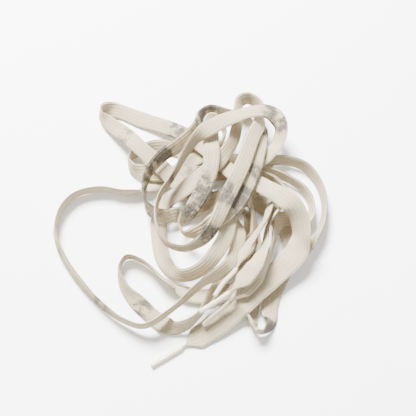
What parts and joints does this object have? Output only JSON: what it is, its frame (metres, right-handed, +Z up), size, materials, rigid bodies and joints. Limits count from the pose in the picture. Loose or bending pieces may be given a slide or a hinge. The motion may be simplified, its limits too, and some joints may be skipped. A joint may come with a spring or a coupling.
{
  "type": "pair of flat woven laces",
  "caption": "Pair of narrow flat woven laces with plastic aglets, lying in one loose heap of loops.",
  "frame": {"origin": "centre of the heap's box, on the surface that it lies on", "axes": "+Z up from the surface, +Y away from the wide end that lies in front, +X to its right"},
  "size_m": [0.1542, 0.1572, 0.0322],
  "materials": {
    "braid": "matte woven cotton",
    "aglet": "satin film"
  },
  "bodies": {
    "root": {"lace_1_braid": "braid", "lace_1_aglet_start": "aglet", "lace_1_aglet_end": "aglet", "lace_2_braid": "braid", "lace_2_aglet_start": "aglet", "lace_2_aglet_end": "aglet"}
  },
  "joints": []
}
